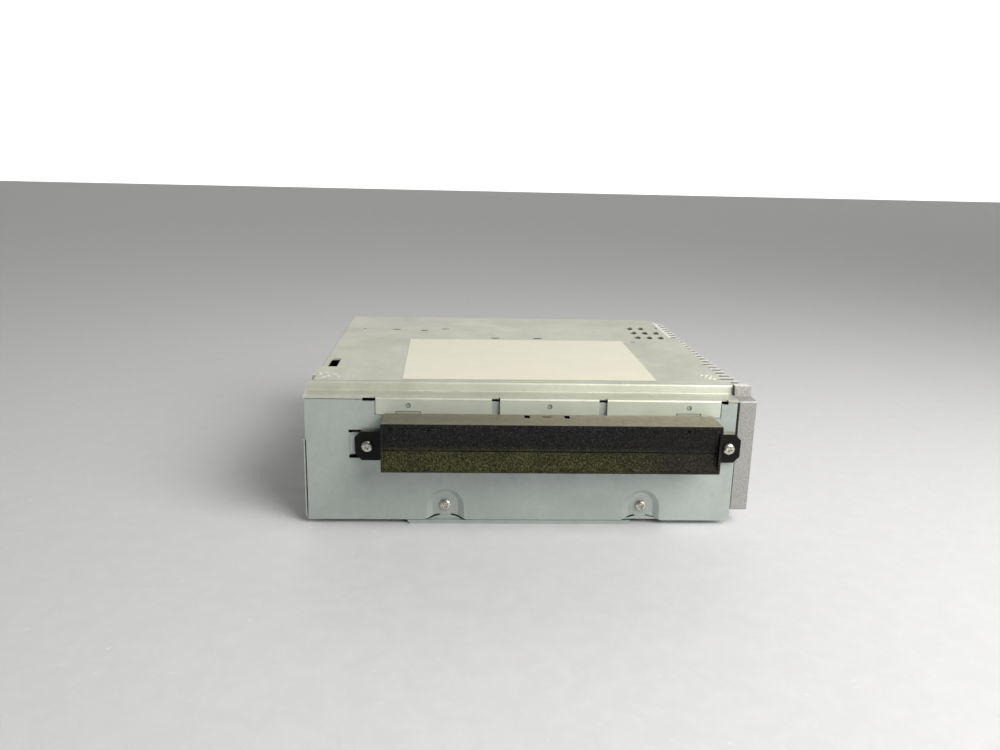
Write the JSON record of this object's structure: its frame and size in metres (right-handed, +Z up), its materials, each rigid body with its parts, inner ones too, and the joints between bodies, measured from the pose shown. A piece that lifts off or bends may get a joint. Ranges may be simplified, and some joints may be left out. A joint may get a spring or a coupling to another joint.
{
  "type": "car radio",
  "caption": "Receiver and disc player module of a car radio: steel box, finned heat sink on the right, disc slot bezel in front.",
  "frame": {"origin": "middle of the flat pan pressed into the floor, which the module stands on", "axes": "+X to the right towards the heat sink, -Y out of the disc slot, +Z up"},
  "size_m": [0.1873, 0.1705, 0.0599],
  "materials": {
    "zinc_steel": "bright zinc plate, satin",
    "cast_aluminium": "blasted casting",
    "black_plastic": "satin moulding",
    "black_felt": "dense black felt",
    "screw_steel": "bright plate",
    "board_green": "solder mask",
    "connector_plastic": "satin moulding",
    "white_plastic": "acetal",
    "tin_plate": "tin plate",
    "chip_plastic": "moulded epoxy",
    "can_sleeve": "shrink sleeve",
    "copper": "enamelled wire",
    "amber_film": "flexible film",
    "black_rubber": "matt",
    "polished_steel": "ground bar",
    "cream_plastic": "acetal",
    "label_paper": "bare paper",
    "lens_glass": "coated"
  },
  "bodies": {
    "housing": {"chassis_tray": "zinc_steel", "front_plate": "zinc_steel", "top_cover": "zinc_steel", "rear_plate": "zinc_steel", "heat_sink": "cast_aluminium", "top_label": "label_paper", "slot_bezel": "black_plastic", "upper_felt": "black_felt", "lower_felt": "black_felt", "bezel_screw_left": "screw_steel", "bezel_screw_right": "screw_steel", "front_screw_left": "screw_steel", "front_screw_right": "screw_steel", "rear_screw_left": "screw_steel", "rear_screw_right": "screw_steel", "sink_screw_front": "screw_steel", "sink_screw_rear": "screw_steel", "main_board": "board_green", "main_connector": "connector_plastic", "antenna_socket_1": "white_plastic", "antenna_socket_2": "white_plastic", "power_amplifier": "chip_plastic", "amplifier_clip": "tin_plate", "tuner_can": "tin_plate", "filter_capacitor_1": "can_sleeve", "filter_capacitor_2": "can_sleeve", "filter_capacitor_3": "can_sleeve", "choke_coil": "copper", "signal_processor": "chip_plastic", "ribbon_cable": "amber_film", "player_frame": "zinc_steel", "player_top": "zinc_steel", "disc_guide": "cream_plastic", "gear_plate": "zinc_steel", "loading_motor": "tin_plate", "traverse_deck": "zinc_steel", "damper_1": "black_rubber", "damper_2": "black_rubber", "damper_3": "black_rubber", "damper_4": "black_rubber", "spindle_motor": "tin_plate", "guide_rod_front": "polished_steel", "guide_rod_rear": "polished_steel", "feed_motor": "tin_plate"},
    "mode_slider": {"mode_slider": "cream_plastic"},
    "roller_carrier": {"roller_carrier": "zinc_steel"},
    "roller": {"roller_shaft": "polished_steel", "rubber_roller": "black_rubber", "roller_gear": "white_plastic"},
    "idler": {"idler_gear": "white_plastic"},
    "pinion": {"motor_pinion": "white_plastic"},
    "turntable": {"turntable": "connector_plastic"},
    "clamp_arm": {"clamp_arm": "zinc_steel"},
    "clamper": {"clamper": "cream_plastic"},
    "pickup": {"pickup_sled": "connector_plastic", "pickup_lens": "lens_glass"},
    "lead_screw": {"lead_screw": "polished_steel"},
    "lever_left": {"detection_lever_left": "cream_plastic"},
    "lever_right": {"detection_lever_right": "cream_plastic"}
  },
  "joints": [
    {"name": "mode_slide", "type": "slide", "parent": "housing", "child": "mode_slider", "axis": [0, 1, 0], "range_m": [0, 0.006]},
    {"name": "roller_carrier_swing", "type": "hinge", "parent": "housing", "child": "roller_carrier", "pos_m": [0.011, -0.0307, 0.029], "axis": [1, 0, 0], "range_deg": [0, 10]},
    {"name": "roller_spin", "type": "hinge", "parent": "roller_carrier", "child": "roller", "pos_m": [0.011, -0.0447, 0.0334], "axis": [1, 0, 0], "continuous": true},
    {"name": "idler_spin", "type": "hinge", "parent": "housing", "child": "idler", "pos_m": [0.011, -0.04152, 0.04351], "axis": [1, 0, 0], "continuous": true},
    {"name": "pinion_spin", "type": "hinge", "parent": "housing", "child": "pinion", "pos_m": [0.011, -0.03353, 0.04061], "axis": [1, 0, 0], "continuous": true},
    {"name": "turntable_spin", "type": "hinge", "parent": "housing", "child": "turntable", "pos_m": [0.011, 0.0193, 0.037], "axis": [0, 0, 1], "continuous": true},
    {"name": "clamp_arm_lift", "type": "hinge", "parent": "housing", "child": "clamp_arm", "pos_m": [0.011, 0.0653, 0.0409], "axis": [-1, 0, 0], "range_deg": [0, 5.5]},
    {"name": "clamper_spin", "type": "hinge", "parent": "clamp_arm", "child": "clamper", "pos_m": [0.011, 0.0193, 0.037], "axis": [0, 0, 1], "continuous": true},
    {"name": "pickup_travel", "type": "slide", "parent": "housing", "child": "pickup", "axis": [1, 0, 0], "range_m": [0, 0.0325]},
    {"name": "lead_screw_spin", "type": "hinge", "parent": "housing", "child": "lead_screw", "pos_m": [0.011, 0.0463, 0.0282], "axis": [1, 0, 0], "range_deg": [0, 2601]},
    {"name": "lever_right_swing", "type": "hinge", "parent": "housing", "child": "lever_right", "pos_m": [0.025, -0.0167, 0.037], "axis": [0, 0, 1], "range_deg": [0, 12], "stiffness_Nm_per_rad": 0.004, "springref_deg": -11.46},
    {"name": "lever_left_swing", "type": "hinge", "parent": "housing", "child": "lever_left", "pos_m": [-0.003, -0.0167, 0.037], "axis": [0, 0, -1], "range_deg": [0, 12]}
  ],
  "couplings": [
    {"joint": "roller_carrier_swing", "follows": "mode_slide", "rad_per_m": 29.089},
    {"joint": "clamp_arm_lift", "follows": "mode_slide", "rad_per_m": 15.999},
    {"joint": "idler_spin", "follows": "roller_spin", "ratio": -0.875},
    {"joint": "pinion_spin", "follows": "roller_spin", "ratio": 1.75},
    {"joint": "lead_screw_spin", "follows": "pickup_travel", "rad_per_m": 1396.3},
    {"joint": "lever_left_swing", "follows": "lever_right_swing", "ratio": 1}
  ]
}
